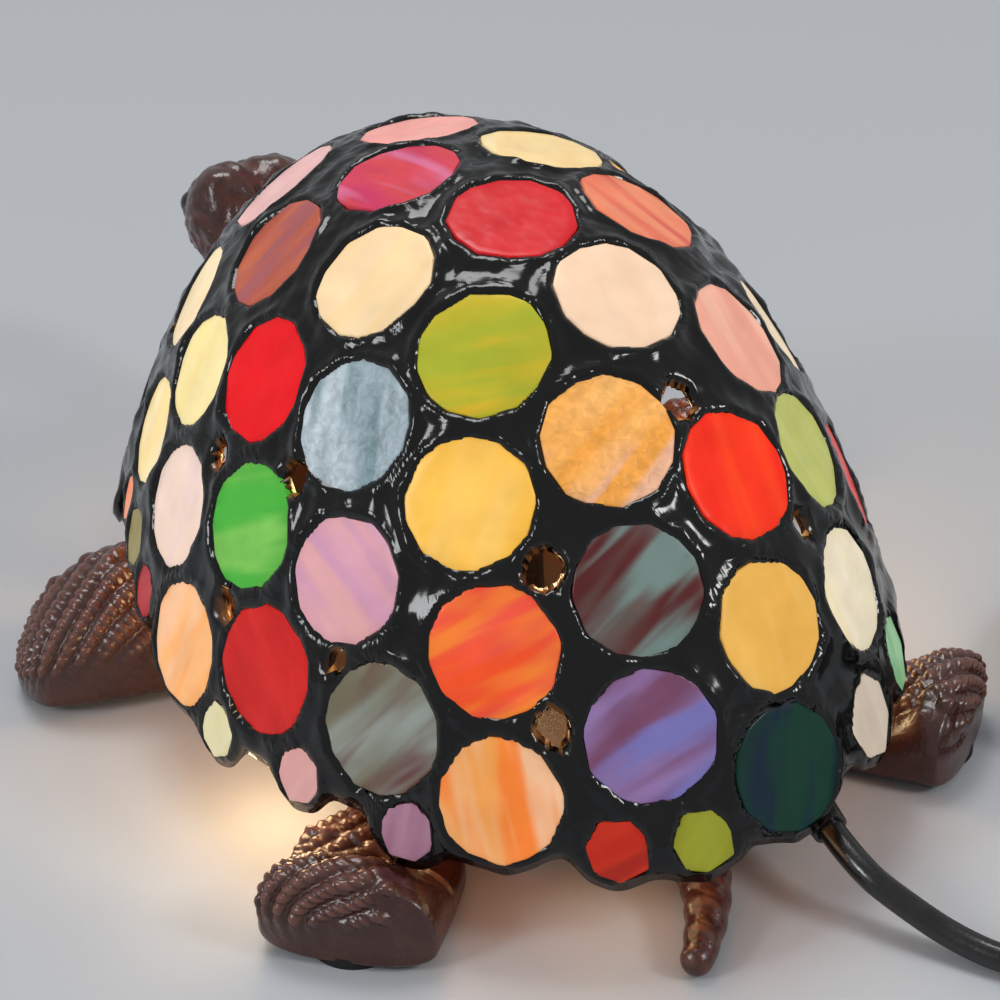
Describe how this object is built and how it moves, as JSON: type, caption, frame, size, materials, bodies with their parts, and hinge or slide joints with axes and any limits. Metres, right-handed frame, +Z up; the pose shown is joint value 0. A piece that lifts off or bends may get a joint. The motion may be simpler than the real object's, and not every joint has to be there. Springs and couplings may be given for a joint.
{
  "type": "tortoise table lamp",
  "caption": "Small table lamp in the form of a tortoise: a domed shell of soldered coloured glass discs lifts off a cast brown body with a bulb inside.",
  "frame": {"origin": "on the floor under the middle of the lamp, midway between snout and tail tip", "axes": "+Z up, head towards -Y, +X to the tortoise's left"},
  "size_m": [0.2726, 0.3084, 0.1127],
  "materials": {
    "cast_body": "lacquered dark chocolate brown with red-brown rubbed highlights",
    "pan": "satin dark brown",
    "pad": "matte black",
    "zinc_fastener": "zinc plated",
    "brass": "bright",
    "solder_tip": "dull solder",
    "bulb_glass": "frosted, lit",
    "filament": "plain wire and glass stem",
    "holder": "black phenolic",
    "wire": "insulated wire",
    "solder": "black patina on solder, glossy",
    "cord": "glossy black flexible sheath",
    "moulding": "black moulding",
    "rocker": "black",
    "glass_cream": "streaky opal cream glass",
    "glass_red": "streaky red glass",
    "glass_orange": "streaky orange glass",
    "glass_amber": "streaky amber glass",
    "glass_green": "streaky green glass",
    "glass_pink": "streaky pink glass",
    "glass_mauve": "streaky mauve glass",
    "glass_dark": "dark mottled glass",
    "glass_slate": "grey-blue hammered glass"
  },
  "bodies": {
    "base": {"belly_pan": "pan", "body_screws": "zinc_fastener", "cord_boot": "cord", "cord_coil": "cord", "cord_end": "cord", "cord_inner": "cord", "cord_lead": "cord", "cord_link": "cord", "cord_tie": "cord", "head_and_neck": "cast_body", "holder_body": "holder", "holder_contact": "brass", "holder_leads": "wire", "holder_nipple": "brass", "holder_nut": "zinc_fastener", "holder_thread": "brass", "holder_washer": "zinc_fastener", "leg_front_left": "cast_body", "leg_front_right": "cast_body", "leg_rear_left": "cast_body", "leg_rear_right": "cast_body", "pad_front_left": "pad", "pad_front_right": "pad", "pad_rear_left": "pad", "pad_rear_right": "pad", "plug_blades": "brass", "plug_body": "moulding", "switch_base": "moulding", "switch_cover": "moulding", "tail": "cast_body"},
    "shade": {"glass_amber": "glass_amber", "glass_cream": "glass_cream", "glass_dark": "glass_dark", "glass_green": "glass_green", "glass_mauve": "glass_mauve", "glass_orange": "glass_orange", "glass_pink": "glass_pink", "glass_red": "glass_red", "glass_slate": "glass_slate", "solder_web": "solder", "shade_lugs": "brass"},
    "bulb_foot": {"bulb_contact": "solder_tip"},
    "bulb": {"bulb_cap": "brass", "bulb_glass": "bulb_glass", "bulb_filament": "filament"},
    "rocker": {"switch_rocker": "rocker"}
  },
  "joints": [
    {"name": "shade_lift", "type": "slide", "parent": "base", "child": "shade", "axis": [0, 0, 1], "range_m": [0, 0.13]},
    {"name": "bulb_travel", "type": "slide", "parent": "base", "child": "bulb_foot", "axis": [0, 0, 1], "range_m": [0, 0.0127]},
    {"name": "bulb_turn", "type": "hinge", "parent": "bulb_foot", "child": "bulb", "pos_m": [0, 0.019, 0.03], "axis": [0, 0, 1], "range_deg": [0, 1800]},
    {"name": "rocker_tip", "type": "hinge", "parent": "base", "child": "rocker", "pos_m": [-0.107, 0.165, 0.0142], "axis": [0, 1, 0], "range_deg": [0, 22]}
  ],
  "couplings": [
    {"joint": "bulb_turn", "follows": "bulb_travel", "rad_per_m": 2473.7}
  ]
}
